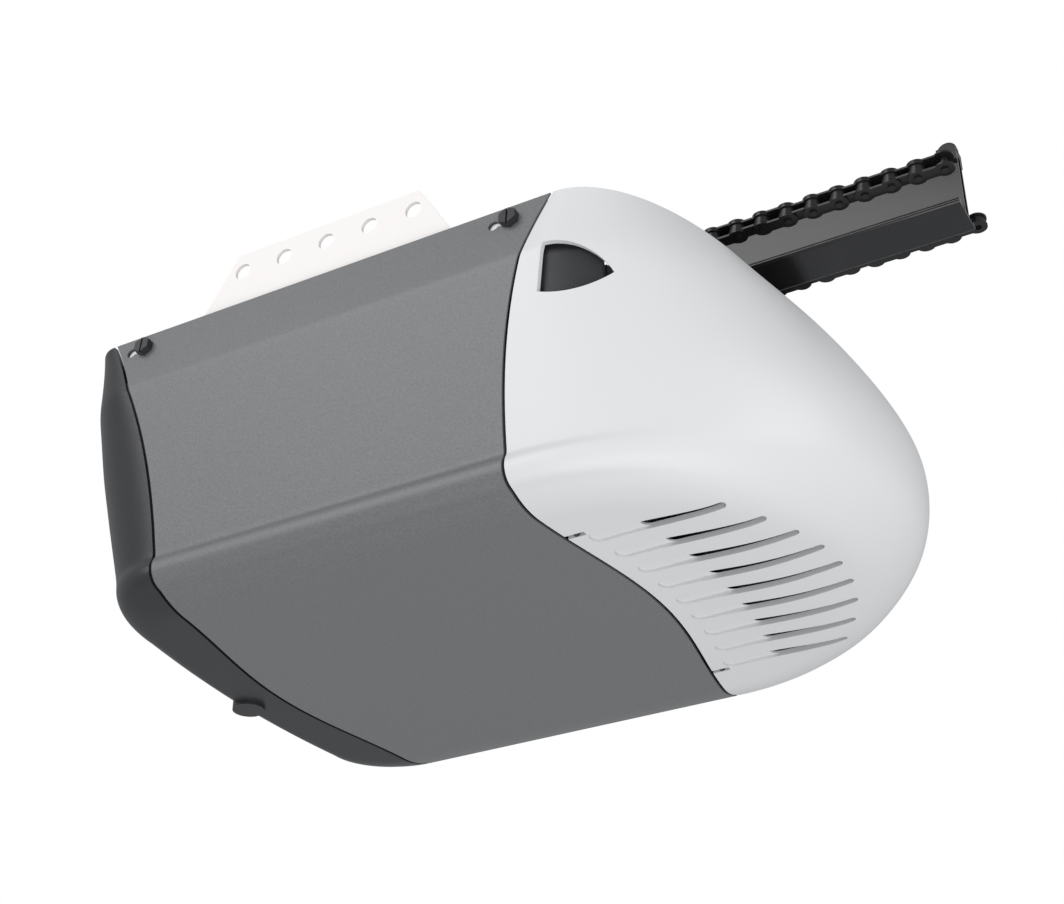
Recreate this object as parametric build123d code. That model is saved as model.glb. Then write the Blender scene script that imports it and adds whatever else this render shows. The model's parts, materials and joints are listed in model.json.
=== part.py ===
from build123d import *
import os
from math import atan, cos, pi, radians, sin, tan

# Chain-drive garage door opener: the powerhead and the first stretch of its rail.
# Millimetres. +X runs along the rail towards the door, +Z is up, Y = 0 is the plane of symmetry.
# The origin is on the chassis top, midway along the cover. The powerhead hangs by two flanges.

os.makedirs("parts", exist_ok=True)

# ---- cover, end caps and lens ----
body_w = 264.0            # over the cover's two top edges
body_h = 135.5            # chassis top down to the flat underside
crease_drop = 31.1        # the upper crease below the top edge
crease_out = 3.4          # how far the wall leans out down to that crease
ridge_rise = 18.9         # height of the lower crease above the underside
ridge_in = 12.7           # the lower crease is this much nearer the middle than the top edge
ridge_out = 2.2           # how far the ridge swells below that crease
ridge_roll = 5.9          # height of the ridge's widest line below that crease
floor_in = 27.3           # the flat underside starts this far inside the lower crease
cover_half = 119.2        # half length of the cover along its top edge
waist_half = 89.8         # half length of the cover at the ridge
bell_reach = 13.7         # how far the cover's underside runs out past the waist at mid width
bell_half = 118.0         # half width of that bell
edge_power = 2.6          # how quickly the side edge flares towards the top
cover_t = 1.0             # cover sheet
shell_t = 2.6             # moulded lens and rear cap
seam = 1.6                # gap between the cover and what meets it
nose_reach = [177.0, 201.0, 217.5, 229.0, 225.0, 217.0, 205.0, 198.0, 193.0]
tail_reach = [146.0, 147.0, 146.0, 141.5, 136.0, 134.0, 131.0, 128.5, 125.6]
tail_form = (0.72, 5.0)   # share of the rear cap's width that is its bowed rear face, and the bow
nose_form = (0.0, 0.0)    # the lens has no such face: its plan is oval
lap = 7.0                 # how far the rear cap's inner lip runs under the cover

# ---- vents, lens windows and lens hinge ----
vent_count = 9
vent_pitch = 17.4
vent_rear = 111.5         # rear end of the middle groove
vent_tip = 190.0          # front end of the middle groove
vent_rear_bow = 7.8       # the outer grooves start this much further back
vent_tip_bow = 24.0       # and end this much sooner
vent_blind = 24.0         # length of each groove that is only a recess
vent_r = 4.4              # half width at the rear end
vent_tip_r = 2.0
vent_depth = 1.3
window_x = 112.0          # rear edge of the finger window
window_z = -50.0          # its lower edge
window_l = 32.0
window_h = 22.5
hinge_x = 100.0
hinge_rise = 0.7          # hinge axis above the underside
hinge_y = 75.0
hinge_w = 4.0             # each of the two lens knuckles beside a lug
hinge_pin_r = 1.0
hinge_r = 1.8             # outside of a knuckle or lug
lug_w = 2.0               # fixed lug, in a slit of the lens
slit_l = 8.5
run_gap = 0.05            # radial clearance of a running fit
side_gap = 0.4            # beside a knuckle or a button

# ---- chassis and hangers ----
sheet = 1.5               # chassis sheet
chassis_half = 116.0
flange_drop = 22.0
hang_set_in = 1.7         # outer face of a hanger flange inside the top edge
hang_t = 1.8
hang_h = 30.5
hang_top_half = 50.5
hang_foot_half = 69.0
hang_foot_w = 26.0
hang_hole_r = 4.25
hang_hole_z = 20.3
hang_hole_pitch = 23.8
hang_screw_x = 52.0
screw_r = 2.5             # chassis screws
screw_head_r = 4.6
screw_head_h = 3.6
cover_screw_x = 100.0
cover_screw_drop = 8.2
clear = 0.2               # sheet to sheet

# ---- chain, sprocket and rail ----
pitch = 12.7
teeth = 12
sprocket_x = 35.9
chain_z = 37.5
roller_r = 3.88
plate_r = 4.7
plate_waist = 3.3
plate_t = 1.0
inner_gap = 3.3           # between a link's inner plates
pin_r = 1.8
strand_links = 18
sprocket_t = 3.0
tooth_tip_r = 27.6
rail_x0 = 70.0
rail_x1 = 266.0
rail_z = 23.6
rail_w = 24.6
rail_lip = 3.2
rail_sheet = 1.2
web_t = 6.0
web_top = 60.0
rail_bolt_r = 1.8
hat_x0 = 74.0
hat_l = 34.0
hat_foot = 14.0

# ---- drive ----
shaft_r = 6.0
wheel_teeth = 25
worm_lead = 7.54
wheel_z = -48.0
wheel_w = 15.0
worm_pitch_r = 7.0
wheel_add = 1.5            # tooth height outside the wheel's pitch circle
worm_l = 24.0
worm_root_r = 5.2
worm_tip_r = 8.9
rotor_shaft_r = 4.0
bush_t = 3.0
stator_r = 44.0
stator_bore = 25.0
stator_l = 45.0
bell_l = 20.0
bell_t = 3.0
air_gap = 0.6
frame_t = 2.5

# ---- control panel and board ----
panel_y = 30.0
panel_z = -58.0
panel_w = 96.0
panel_h = 50.0
panel_x = -139.0          # outer face of the recessed panel
panel_t = 2.2
board_gap = 9.0           # panel to board
board_t = 1.6
button_travel = 1.0
button_r = 4.0

cap_screw_y = 92.0        # screws that hold the rear cap on the chassis
cap_screw_z = -24.0
gland_y = -66.0           # where the supply cord enters
gland_z = -58.0
gland_r = 8.0
cord_hole_r = 4.2

# ---- smaller parts ----
can_r = 16.0              # motor capacitor
screen_t = 0.8            # dark screen on the lens floor behind the vents
screen_margin = 6.0       # the screen runs past the vents by this much
bearing_r = 14.0          # body of the shaft bearing through the chassis
bearing_flange = 3.0      # thickness of the bearing plate
bulk_t = 2.5              # front bulkhead
latch_gap = 1.6           # between a latch tab and the lens wall
latch_t = 2.4             # latch tab
latch_travel = 3.0        # how far a latch tab is pressed
lamp_z = -68.0            # height of the lamp
socket_r = 20.0           # lamp socket
socket_l = 27.0           # length of the lamp socket
base_l = 21.0             # threaded base of the lamp
bulb_r = 24.0             # glass of the lamp
hat_t = 2.0               # rail bracket sheet
boss_l = 7.0              # bearing boss of a motor end bell
stud_r = 2.0              # motor bolts
slot_count = 12           # winding slots of the stator
coil_l = 13.0             # how far the windings stand out of the stator
cup_r = 16.0              # speed cup
guard_in = 34.0           # inside radius of the sprocket guard
guard_t = 2.0             # wall of the sprocket guard
core_z0 = -52.0           # underside of the transformer core
switch_l = 3.0            # height of a button switch

# ---- worked out ----
half_w = body_w / 2
floor_z = -body_h
ridge_z = floor_z + ridge_rise
ridge_w = half_w - ridge_in
wall_tilt = atan(crease_out / crease_drop)
pitch_r = pitch / (2 * sin(pi / teeth))
wheel_r = wheel_teeth * worm_lead / (2 * pi)
worm_y = -(wheel_r + worm_pitch_r)
hinge_z = floor_z + hinge_rise
plate_front = waist_half - seam - 4.0
hang_y = half_w - hang_set_in
hang_in = hang_y - hang_t
rail_slot = rail_w / 2 - rail_lip - web_t / 2      # flat of the rail beside its web
rail_head_r = rail_slot / 2 - 0.15
rail_bolt_y = web_t / 2 + rail_head_r + 0.2

written = []


def save(node, *solids):
    """Write one node as a STEP file; several solids make one group."""
    flat = []
    for item in solids:
        flat += list(item.solids())
    shape = flat[0] if len(flat) == 1 else Compound(children=flat)
    export_step(shape, f"parts/{node}.step")
    written.append(node)


def rod(r, start, axis, length):
    """A round bar from a start point along an axis direction."""
    plane = Plane(origin=start, z_dir=axis)
    return extrude(plane * Circle(r), length)


def tube(r_out, r_in, start, axis, length):
    """A round tube from a start point along an axis direction."""
    return rod(r_out, start, axis, length) - rod(r_in, start, axis, length)


def block(x0, x1, y0, y1, z0, z1):
    """A box between two corners."""
    middle = ((x0 + x1) / 2, (y0 + y1) / 2, (z0 + z1) / 2)
    return Pos(*middle) * Box(abs(x1 - x0), abs(y1 - y0), abs(z1 - z0))


def section_points(inset):
    """Right half of the housing's cross-section, from the top edge to the underside, as (y, z)."""
    w = half_w - inset
    rw = ridge_w - inset
    low = floor_z + inset
    return [
        (w, 0.0),
        (w + crease_out, -crease_drop),
        (rw, ridge_z),
        (rw + ridge_out, ridge_z - ridge_roll),
        (ridge_w - 5.8 - 0.7 * inset, low + 4.5),
        (ridge_w - 0.55 * floor_in - 0.3 * inset, low + 1.2),
        (ridge_w - floor_in, low),
    ]


def edge_half(z):
    """Half length of the cover at a height: flares from the waist to the top edge."""
    share = min(max(1 + z / body_h, 0.0), 1.0)
    return waist_half + (cover_half - waist_half) * share ** edge_power


def bell_x(y):
    """Half length of the cover's underside at a distance from the middle."""
    if abs(y) >= bell_half:
        return waist_half
    return waist_half + bell_reach * cos(pi * y / (2 * bell_half)) ** 2


def housing_section(inset, top):
    """Closed face of the housing's cross-section on the YZ plane."""
    p = section_points(inset)
    p[0] = (p[0][0] - top * tan(wall_tilt), top)
    q = [(-y, z) for y, z in p]
    right = [Line(p[0], p[1]), Line(p[1], p[2]),
             ThreePointArc(p[2], p[3], p[4]), ThreePointArc(p[4], p[5], p[6])]
    left = [ThreePointArc(q[6], q[5], q[4]), ThreePointArc(q[4], q[3], q[2]),
            Line(q[2], q[1]), Line(q[1], q[0])]
    return make_face(Plane.YZ * Wire(right + [Line(p[6], q[6])] + left + [Line(q[0], p[0])]))


def cover_zone(grow, top=60.0):
    """The space that the cover takes along X: side edges that flare, and the bell underneath."""
    heights = [floor_z * k / 8 for k in range(9)]
    right = [(edge_half(z) + grow, z) for z in heights]
    left = [(-x, z) for x, z in reversed(right)]
    low = floor_z - 20
    outline = Wire([
        Line((right[0][0], top), right[0]), Spline(*right),
        Line(right[-1], (right[-1][0], low)), Line((right[-1][0], low), (left[0][0], low)),
        Line((left[0][0], low), left[0]), Spline(*left),
        Line(left[-1], (left[-1][0], top)), Line((left[-1][0], top), (right[0][0], top))])
    side = extrude(make_face(Plane.XZ * outline), half_w + 40, both=True)
    ys = [bell_half * k / 6 for k in range(-6, 7)]
    front = [(bell_x(y) + grow, y) for y in ys]
    back = [(-x, y) for x, y in reversed(front)]
    plan = Wire([Spline(*front), Line(front[-1], back[0]), Spline(*back), Line(back[-1], front[0])])
    under = extrude(Pos(0, 0, low) * make_face(plan), body_h + 20 + top)
    return side + under


def levels(inset, reach):
    """Heights of the housing's ends, each with its half width and reach: (z, half width, reach)."""
    p = section_points(inset)
    rows = [(p[0], reach[0]), (p[1], reach[1])]
    for k in (1, 2):
        mid = tuple(a + (b - a) * k / 3 for a, b in zip(p[1], p[2]))
        rows.append((mid, reach[1 + k]))
    rows += list(zip(p[2:], reach[4:]))
    return [(z, w, out - inset) for (w, z), out in rows]


def at_height(rows, z):
    """Half width and reach at any height, between the listed ones."""
    for (z1, w1, r1), (z2, w2, r2) in zip(rows, rows[1:]):
        if z2 <= z <= z1:
            k = (z1 - z) / (z1 - z2)
            return z, w1 + (w2 - w1) * k, r1 + (r2 - r1) * k
    return rows[0] if z > 0 else rows[-1]


def outline(z, w, reach, flat_share, bow, start):
    """Edges of one end's plan: a straight run, round corners and a bowed face, and a straight run back."""
    x0 = edge_half(z)
    a = reach - x0
    flat = flat_share * w
    turns = [pi * k / 12 for k in range(1, 7)]
    corner = [(x0 + (a - bow) * cos(t), flat + (w - flat) * sin(t)) for t in turns]
    face = [(x0 + a - bow * k * k / 4, flat * k / 2) for k in (-2, -1, 0, 1, 2)] if flat else [(x0 + a, 0)]
    oval = [(x, -y) for x, y in reversed(corner)] + face + corner
    arcs = [ThreePointArc(*oval[k:k + 3]) for k in range(0, len(oval) - 2, 2)]
    return [Line((start, -w), oval[0])] + arcs + [Line(oval[-1], (start, w))]


def end_solid(rows, form, start):
    """A solid end through every listed height."""
    faces = []
    for z, w, out in rows:
        wire = Wire(outline(z, w, out, *form, start) + [Line((start, w), (start, -w))])
        faces.append(Pos(0, 0, z) * make_face(wire))
    return loft(faces, ruled=True)


def end_wall(outer, inner, form, start, heights):
    """The upright wall between two surfaces, as bands lofted through the given heights."""
    faces = []
    for z in heights:
        _, w1, r1 = at_height(outer, z)
        _, w2, r2 = at_height(inner, z)
        ends = [Line((start, w1), (start, w2)), Line((start, -w2), (start, -w1))]
        wire = Wire(outline(z, w1, r1, *form, start) + outline(z, w2, r2, *form, start) + ends)
        faces.append(Pos(0, 0, z) * make_face(wire))
    return loft(faces, ruled=True)


def end_shell(reach, form, start):
    """A moulded end of even wall: upright walls with a floor under them."""
    outer = levels(0, reach)
    inner = levels(shell_t, reach)
    floor_top = inner[-1][0]
    heights = [z for z, _, _ in outer if z > floor_top] + [floor_top]
    wall = end_wall(outer, inner, form, start, heights)
    low = [at_height(outer, floor_top)] + [row for row in outer if row[0] < floor_top]
    return wall + end_solid(low, form, start)


def to_rear(shape):
    """Turn a shape made facing +X so that it faces -X."""
    return Rot(0, 0, 180) * shape


def screw(r, length, head_r, head_h, at, axis):
    """A hex-headed screw: the head's seat is at the point, the shank runs along the axis."""
    plane = Plane(origin=at, z_dir=axis)
    head = extrude(plane * RegularPolygon(head_r, 6), -head_h)
    slot = extrude(plane.offset(-head_h) * Rectangle(2.4 * head_r, 0.9), 1.0)
    return head - slot + extrude(plane * Circle(r), length)


# ---------------------------------------------------------------- chassis
def make_chassis():
    w = half_w - cover_t - clear
    lean = tan(wall_tilt)
    outer = [(w, 0), (w + flange_drop * lean, -flange_drop), (-w - flange_drop * lean, -flange_drop), (-w, 0)]
    inner = [(w - sheet - sheet * lean, -sheet), (w - sheet + flange_drop * lean, -flange_drop - 1),
             (-w + sheet - flange_drop * lean, -flange_drop - 1), (-w + sheet + sheet * lean, -sheet)]
    profile = make_face(Plane.YZ * Polyline(*outer, close=True)) - make_face(
        Plane.YZ * Polyline(*inner, close=True))
    tray = extrude(profile, chassis_half, both=True)
    tray += block(-chassis_half, -chassis_half + sheet, -w + 6, w - 6, -40, 0)
    tray -= rod(bearing_r + 0.3, (sprocket_x, 0, -sheet - 1), (0, 0, 1), sheet + 2)
    for x, y in chassis_holes():
        tray -= rod(screw_r + 0.1, (x, y, -sheet - 1), (0, 0, 1), sheet + 2)
    for s in screws_cover(screw_r + 0.1, 9.0):
        tray -= s
    for s in cap_screws(screw_r + 0.1):
        tray -= s
    keep = cover_zone(-1.0) + block(-chassis_half, chassis_half, -w + 6, w - 6, -60, 60)
    return tray & keep


frame_y0 = worm_y - stator_r
frame_y1 = wheel_r + wheel_add + 4.0
frame_x0 = sprocket_x - wheel_r - wheel_add - 4.0
frame_x1 = sprocket_x + wheel_r + wheel_add + 2.0
tab_points = [(frame_x0 + 10, frame_y1 + 8), (frame_x1 - 10, frame_y1 + 8),
              (frame_x0 + 10, worm_y - 34.0), (frame_x1 - 10, worm_y - 34.0)]
plate_points = [(sprocket_x + u * 19.5, v * 14.5) for u in (-1, 1) for v in (-1, 1)]
hat_points = [(hat_x0 + hat_l * k, s * (rail_w / 2 + 5 + hat_foot / 2)) for k in (0.12, 0.8) for s in (1, -1)]
guard_points = [(sprocket_x + u, v * 43.5) for u in (-15, 10) for v in (-1, 1)]
bulk_points = [(plate_front - 9.6, y) for y in (-112, -92, 92, 112)]
hang_points = [(x, s * (hang_in - hang_foot_w / 2))
               for x in (-hang_screw_x, 0, hang_screw_x) for s in (1, -1)]
core_points = [(-92.0, 50.0), (-92.0, 100.0)]
clip_points = [(-8.0, 46.0), (-8.0, 94.0)]


def chassis_holes():
    """Where vertical screws pass through the chassis."""
    return (tab_points + plate_points + hat_points + guard_points + bulk_points + hang_points
            + core_points + clip_points)


def screws_cover(r, length, head=False):
    """Four screws square to the leaning side walls."""
    out = []
    for side in (1, -1):
        for x in (-cover_screw_x, cover_screw_x):
            y = side * (half_w + cover_screw_drop * tan(wall_tilt))
            axis = (0, -side * cos(wall_tilt), -sin(wall_tilt))
            if head:
                out.append(screw(r, length, screw_head_r, screw_head_h, (x, y, -cover_screw_drop), axis))
            else:
                start = (x, y - 3 * axis[1], -cover_screw_drop - 3 * axis[2])
                out.append(rod(r, start, axis, length + 3))
    return out


def cap_screws(r):
    """Shanks of the screws that hold the rear cap on the chassis end flange."""
    return [rod(r, (-chassis_half - 12, s * cap_screw_y, cap_screw_z), (1, 0, 0), 20) for s in (1, -1)]


save("chassis", make_chassis())

# ---------------------------------------------------------------- hanger flanges
hang_profile = make_face(Plane.XZ * Polyline(
    (-hang_foot_half, 0), (hang_foot_half, 0), (hang_top_half, hang_h), (-hang_top_half, hang_h), close=True))
for name, side in (("hanger_near", -1), ("hanger_far", 1)):
    flange = Pos(0, side * (hang_y - hang_t / 2), 0) * extrude(hang_profile, hang_t / 2, both=True)
    foot = block(-hang_foot_half, hang_foot_half, side * (hang_in - hang_foot_w), side * hang_y, 0, hang_t)
    bracket = flange + foot
    for k in range(-2, 3):
        bracket -= rod(hang_hole_r, (k * hang_hole_pitch, side * (hang_y + 1), hang_hole_z), (0, -side, 0), 5)
    for x, y in hang_points:
        bracket -= rod(screw_r + 0.1, (x, y, -1), (0, 0, 1), hang_t + 2)
    save(name, bracket)

# ---------------------------------------------------------------- cover
skin = extrude(housing_section(0, 0), 160, both=True) - extrude(housing_section(cover_t, 10), 170, both=True)
cover = skin & cover_zone(0)
for s in screws_cover(screw_r + 0.1, 6.0):
    cover -= s
for side in (1, -1):
    for x in (-cover_screw_x, cover_screw_x):
        y = side * (half_w + cover_screw_drop * tan(wall_tilt))
        cover -= block(x - 7.5, x, y - 4, y + 4, -cover_screw_drop - screw_r, -cover_screw_drop + screw_r)
save("wrap_cover", cover)
save("cover_screws", *screws_cover(screw_r, 8.0, head=True))

# ---------------------------------------------------------------- rear cap
zone = cover_zone(seam)
tail_outer = to_rear(end_solid(levels(0, tail_reach), tail_form, 60.0))
rear_cap = to_rear(end_shell(tail_reach, tail_form, 60.0)) - zone
under = cover_t + clear
lip = extrude(housing_section(under, 0) - housing_section(under + 2.0, 9), cover_half + 6, both=True)
lip = (lip & cover_zone(4.0)) - cover_zone(-lap)
lip = lip & block(-cover_half - 6, -60, -half_w - 9, half_w + 9, floor_z, -flange_drop - 4)
rear_cap = rear_cap + lip
rear_cap += rod(8.0, (-tail_reach[6] + 7.0, 0, ridge_z - 2), (0, 0, -1), ridge_rise + 1.0)
ring = block(panel_x + 6.0, panel_x - 10, panel_y - panel_w / 2 - 2, panel_y + panel_w / 2 + 2,
             panel_z - panel_h / 2 - 2, panel_z + panel_h / 2 + 2)
pocket = block(panel_x - panel_t, panel_x - 30, panel_y - panel_w / 2 + 3, panel_y + panel_w / 2 - 3,
               panel_z - panel_h / 2 + 3, panel_z + panel_h / 2 - 3)
seat = block(panel_x, panel_x + 20, panel_y - panel_w / 2 - clear, panel_y + panel_w / 2 + clear,
             panel_z - panel_h / 2 - clear, panel_z + panel_h / 2 + clear)
rear_cap = rear_cap + (ring & tail_outer)
rear_cap = rear_cap - pocket - block(panel_x - panel_t - 0.1, panel_x + 20, panel_y - panel_w / 2 + 3,
                                     panel_y + panel_w / 2 - 3, panel_z - panel_h / 2 + 3,
                                     panel_z + panel_h / 2 - 3) - seat
for side in (1, -1):
    y = side * cap_screw_y
    boss = block(-tail_reach[0] - 1, -chassis_half, y - 8, y + 8, cap_screw_z - 8, cap_screw_z + 8)
    rear_cap += boss & tail_outer
    rear_cap -= rod(screw_head_r + 0.6, (-chassis_half - 6, y, cap_screw_z), (-1, 0, 0), 60)
for s in cap_screws(screw_r + 0.1):
    rear_cap -= s
gland_x = -tail_reach[2] - 3.0
rear_cap -= rod(gland_r, (gland_x - 9, gland_y, gland_z), (1, 0, 0), 30)
cord_gland = rod(gland_r, (gland_x, gland_y, gland_z), (1, 0, 0), 16.0)
cord_gland += tube(gland_r + 3.0, gland_r, (gland_x, gland_y, gland_z), (1, 0, 0), 9.0) - tail_outer
cord_gland -= rod(cord_hole_r, (gland_x - 1, gland_y, gland_z), (1, 0, 0), 18)
save("rear_cap", rear_cap)

# ---------------------------------------------------------------- lens


def vent_ends(k):
    """Middle line, rear end and tip of one vent groove."""
    y = (k - (vent_count - 1) / 2) * vent_pitch
    share = (2 * y / (vent_pitch * (vent_count - 1))) ** 2
    return y, vent_rear - vent_rear_bow * share, vent_tip - vent_tip_bow * share


def taper(x0, x1, r0, r1, z0, z1, y):
    """A tapered slot with round ends, cut between two heights."""
    face = make_face(Polyline((x0, y - r0), (x1, y - r1), (x1, y + r1), (x0, y + r0), close=True))
    face = face + Pos(x0, y) * Circle(r0) + Pos(x1, y) * Circle(r1)
    return extrude(Pos(0, 0, z0) * face, z1 - z0)


def window_prism(grow, y0, y1):
    """The D-shaped finger window, seen from the side, between two distances from the middle."""
    a = (window_x + 0.14 * window_l - grow, window_z + window_h + grow)
    b = (window_x - grow, window_z - grow)
    tip = (window_x + window_l + grow, window_z + 0.2 * window_h)
    over = (window_x + 0.66 * window_l, window_z + 0.78 * window_h + grow)
    under = (window_x + 0.62 * window_l, window_z - 1.0 - grow)
    outline = Wire([Line(b, a), ThreePointArc(a, over, tip), ThreePointArc(tip, under, b)])
    return extrude(Pos(0, (y0 + y1) / 2, 0) * make_face(Plane.XZ * outline), (y1 - y0) / 2, both=True)


lens = end_shell(nose_reach, nose_form, 60.0) - zone
for k in range(vent_count):
    y, rear, tip = vent_ends(k)
    share = vent_blind / (tip - rear)
    mid_r = vent_r + (vent_tip_r - vent_r) * share
    lens -= taper(rear + vent_r, tip - vent_tip_r, vent_r, vent_tip_r, floor_z - 9, floor_z + vent_depth, y)
    lens -= taper(rear + vent_blind + mid_r, tip - vent_tip_r, mid_r, vent_tip_r,
                  floor_z - 1, floor_z + 9, y)
for side in (1, -1):
    far, near = half_w + 9, half_w * 0.6
    lens -= window_prism(0, side * near, side * far) if side > 0 else window_prism(0, -far, -near)
    mid = side * hinge_y
    half_slit = lug_w / 2 + side_gap
    reach_w = half_slit + hinge_w
    lens += rod(hinge_r, (hinge_x, mid - reach_w, hinge_z), (0, 1, 0), 2 * reach_w)
    lens -= block(hinge_x - 9, hinge_x + slit_l / 2,
                  mid - half_slit, mid + half_slit, floor_z - 5, floor_z + 9)
    lens -= rod(hinge_pin_r + run_gap, (hinge_x, mid - reach_w - 1, hinge_z), (0, 1, 0), 2 * reach_w + 2)
save("light_lens", lens)
screen_z = floor_z + shell_t
screen_y = vent_pitch * (vent_count - 1) / 2 + screen_margin
_, screen_w, screen_reach = levels(shell_t, nose_reach)[-1]
screen_rows = [(screen_z, screen_w, screen_reach), (screen_z + screen_t, screen_w, screen_reach)]
screen = end_solid(screen_rows, nose_form, 60.0)
screen = screen & block(vent_rear + vent_blind - screen_margin, nose_reach[-1] - shell_t - 1.0,
                        -screen_y, screen_y, screen_z, screen_z + screen_t)
save("vent_screen", screen)

# ---------------------------------------------------------------- front bulkhead
panel_gap = cover_t + clear
bulk_x1 = plate_front
bulk_x0 = bulk_x1 - bulk_t
bulk_face = housing_section(panel_gap, 5.0)
bulkhead = Pos((bulk_x0 + bulk_x1) / 2, 0, 0) * extrude(bulk_face, bulk_t / 2, both=True)
bulkhead = bulkhead & block(bulk_x0 - 1, bulk_x1 + 1, -half_w - 9, half_w + 9, floor_z - 1, -flange_drop - 1)
bulkhead += block(bulk_x0, bulk_x1, -half_w + 9, half_w - 9, -flange_drop - 2, -sheet)
for side in (1, -1):
    bulkhead += block(bulk_x1 - 20, bulk_x1, side * 86, side * (half_w - 9), -sheet - 2.5, -sheet)
for x, y in bulk_points:
    bulkhead -= rod(screw_r, (x, y, -sheet - 4), (0, 0, 1), 5)
for side in (1, -1):
    mid = side * hinge_y
    plate = make_face(Polyline(
        (bulk_x1 - 1, floor_z + 9), (hinge_x - 3, floor_z + 6), (hinge_x + hinge_r, hinge_z + 0.4),
        (hinge_x - hinge_r, hinge_z - 0.4), (hinge_x - 4.2, floor_z + cover_t + 0.5),
        (bulk_x1 - 1, floor_z + cover_t + 0.5), close=True))
    lug_face = Plane.XZ * (plate + Pos(hinge_x, hinge_z) * Circle(hinge_r))
    lug = Pos(0, mid, 0) * extrude(lug_face, lug_w / 2, both=True)
    bulkhead += lug - rod(hinge_pin_r, (hinge_x, mid - lug_w, hinge_z), (0, 1, 0), 2 * lug_w)
    arm_y = side * (half_w - 22.0)
    arm = block(bulk_x1 - 1, window_x + 24, arm_y - 2.5, arm_y + 2.5, window_z - 2, window_z + 18)
    arm -= block(window_x + 4, window_x + 12.4, arm_y - 9, arm_y + 9, window_z + 4, window_z + 12.4)
    bulkhead += arm
wire_hole = rod(6.0, (bulk_x0 - 1, 40, -70), (1, 0, 0), bulk_t + 2)
bulkhead -= wire_hole
save("front_panel", bulkhead)
pin_l = 2 * hinge_w + 2 * side_gap + lug_w
save("hinge_pins", *[rod(hinge_pin_r, (hinge_x, side * hinge_y - pin_l / 2, hinge_z), (0, 1, 0), pin_l)
                     for side in (1, -1)])

# ---------------------------------------------------------------- latch tabs behind the finger windows
tab_in = shell_t + latch_gap
tab_band = end_wall(levels(tab_in, nose_reach), levels(tab_in + latch_t, nose_reach), nose_form, 60.0,
                    [z for z, _, _ in levels(0, nose_reach)[:4]])
for name, side in (("latch_near", -1), ("latch_far", 1)):
    low, high = sorted((side * (half_w * 0.6), side * (half_w + 9)))
    pad = tab_band & window_prism(2.5, low, high)
    pad = pad & block(window_x - 6, window_x + 26, -half_w - 9, half_w + 9, window_z - 9, window_z + 40)
    stem = block(window_x + 4.2, window_x + 12.2, side * (half_w - tab_in - 2.6), side * (half_w - 36),
                 window_z + 4.2, window_z + 12.2)
    save(name, pad + stem)

# ---------------------------------------------------------------- lamp
socket = tube(socket_r, 14.6, (bulk_x1, 0, lamp_z), (1, 0, 0), socket_l)
socket += rod(socket_r, (bulk_x1, 0, lamp_z), (1, 0, 0), 4.0)
socket += rod(4.0, (bulk_x1 + 4.0, 0, lamp_z), (1, 0, 0), 1.0)
save("lamp_socket", socket)
base_x = bulk_x1 + 5.0
ball_x = base_x + 60.0
bulb = rod(13.0, (base_x + 2, 0, lamp_z), (1, 0, 0), base_l)
bulb += rod(6.0, (base_x, 0, lamp_z), (1, 0, 0), 5.0)
bulb += Pos(ball_x - 16, 0, lamp_z) * Rot(0, 90, 0) * Cone(13.0, 0.95 * bulb_r, 44.0 - bulb_r + 14)
bulb += Pos(ball_x, 0, lamp_z) * Sphere(bulb_r)
save("light_bulb", bulb)

# ---------------------------------------------------------------- rail
def rail_face():
    """Upside-down T section with rolled lips, on the YZ plane."""
    w = rail_w / 2
    base = Pos(0, rail_z + rail_lip / 2) * SlotOverall(rail_w, rail_lip)
    hollow = Pos(0, rail_z + rail_lip / 2 + 0.9) * Rectangle(rail_w - 2 * rail_lip, rail_lip)
    web = Pos(0, (rail_z + web_top) / 2) * Rectangle(web_t, web_top - rail_z)
    core_h = web_top - rail_z - 2 * rail_sheet
    core = Pos(0, (rail_z + web_top) / 2) * Rectangle(web_t - 2 * rail_sheet, core_h)
    return (base - hollow) + web - core


rail_mid = Pos((rail_x0 + rail_x1) / 2, 0, 0) * (Plane.YZ * rail_face())
rail = extrude(rail_mid, (rail_x1 - rail_x0) / 2, both=True)
bolt_points = [(hat_x0 + hat_l * k, s * rail_bolt_y) for k in (0.25, 0.75) for s in (1, -1)]
for x, y in bolt_points:
    rail -= rod(rail_bolt_r + 0.1, (x, y, rail_z - 1), (0, 0, 1), rail_lip + 2)
save("rail", rail)
hat_in = rail_w / 2 + 3.0
hat = block(hat_x0, hat_x0 + hat_l, -hat_in - hat_t, hat_in + hat_t, rail_z - hat_t, rail_z)
for s in (1, -1):
    hat += block(hat_x0, hat_x0 + hat_l, s * hat_in, s * (hat_in + hat_t), 0, rail_z)
    hat += block(hat_x0, hat_x0 + hat_l, s * hat_in, s * (hat_in + hat_t + hat_foot), 0, hat_t)
for x, y in bolt_points:
    hat -= rod(rail_bolt_r + 0.1, (x, y, rail_z - hat_t - 1), (0, 0, 1), hat_t + 2)
for x, y in hat_points:
    hat -= rod(screw_r + 0.1, (x, y, -1), (0, 0, 1), hat_t + 2)
save("rail_bracket", hat)
rail_floor = rail_z + 0.9
save("rail_bolts", *[screw(rail_bolt_r, 8.5, rail_head_r, 2.4, (x, y, rail_floor), (0, 0, -1))
                     for x, y in bolt_points])
nut = extrude(RegularPolygon(3.4, 6) - Circle(rail_bolt_r), 4.0)
save("rail_nuts", *[Pos(x, y, rail_z - hat_t - 4.0) * nut
                    for x, y in bolt_points])

# ---------------------------------------------------------------- chain
inner_z = inner_gap / 2
outer_z = inner_z + plate_t + 0.1
pin_half = outer_z + plate_t + 0.9


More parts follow.
